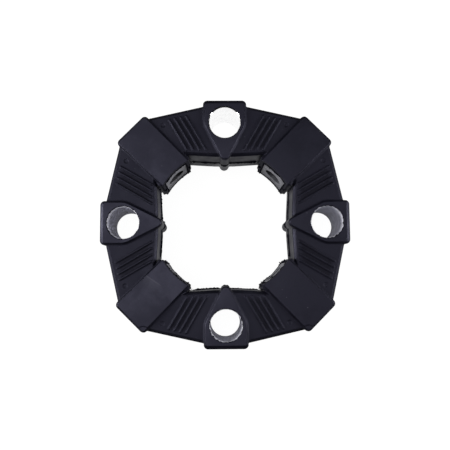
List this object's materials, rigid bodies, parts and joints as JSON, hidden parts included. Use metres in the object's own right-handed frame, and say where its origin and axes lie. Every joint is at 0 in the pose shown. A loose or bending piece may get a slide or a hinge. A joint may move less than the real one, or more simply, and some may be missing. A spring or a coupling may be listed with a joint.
{
  "type": "rubber coupling",
  "caption": "Octagonal flexible coupling ring of moulded rubber with axial bolt lugs lined by metal sleeves and corner blocks holding concave metal inserts for radial hub bolts.",
  "frame": {"origin": "on the coupling axis, in the plane of the back pads that the part lies on", "axes": "+Z along the coupling axis towards the front face, X and Y through the axial bolt lugs"},
  "size_m": [0.2024, 0.2024, 0.05],
  "materials": {
    "rubber": "satin moulded black rubber with a bluish cast",
    "sleeve_metal": "smooth turned aluminium",
    "insert_metal": "cast aluminium with thin rubber flash"
  },
  "bodies": {
    "root": {"rubber_body": "rubber", "axial_sleeve_east": "sleeve_metal", "axial_sleeve_north": "sleeve_metal", "axial_sleeve_west": "sleeve_metal", "axial_sleeve_south": "sleeve_metal", "radial_insert_northeast": "insert_metal", "radial_insert_northwest": "insert_metal", "radial_insert_southwest": "insert_metal", "radial_insert_southeast": "insert_metal"}
  },
  "joints": []
}
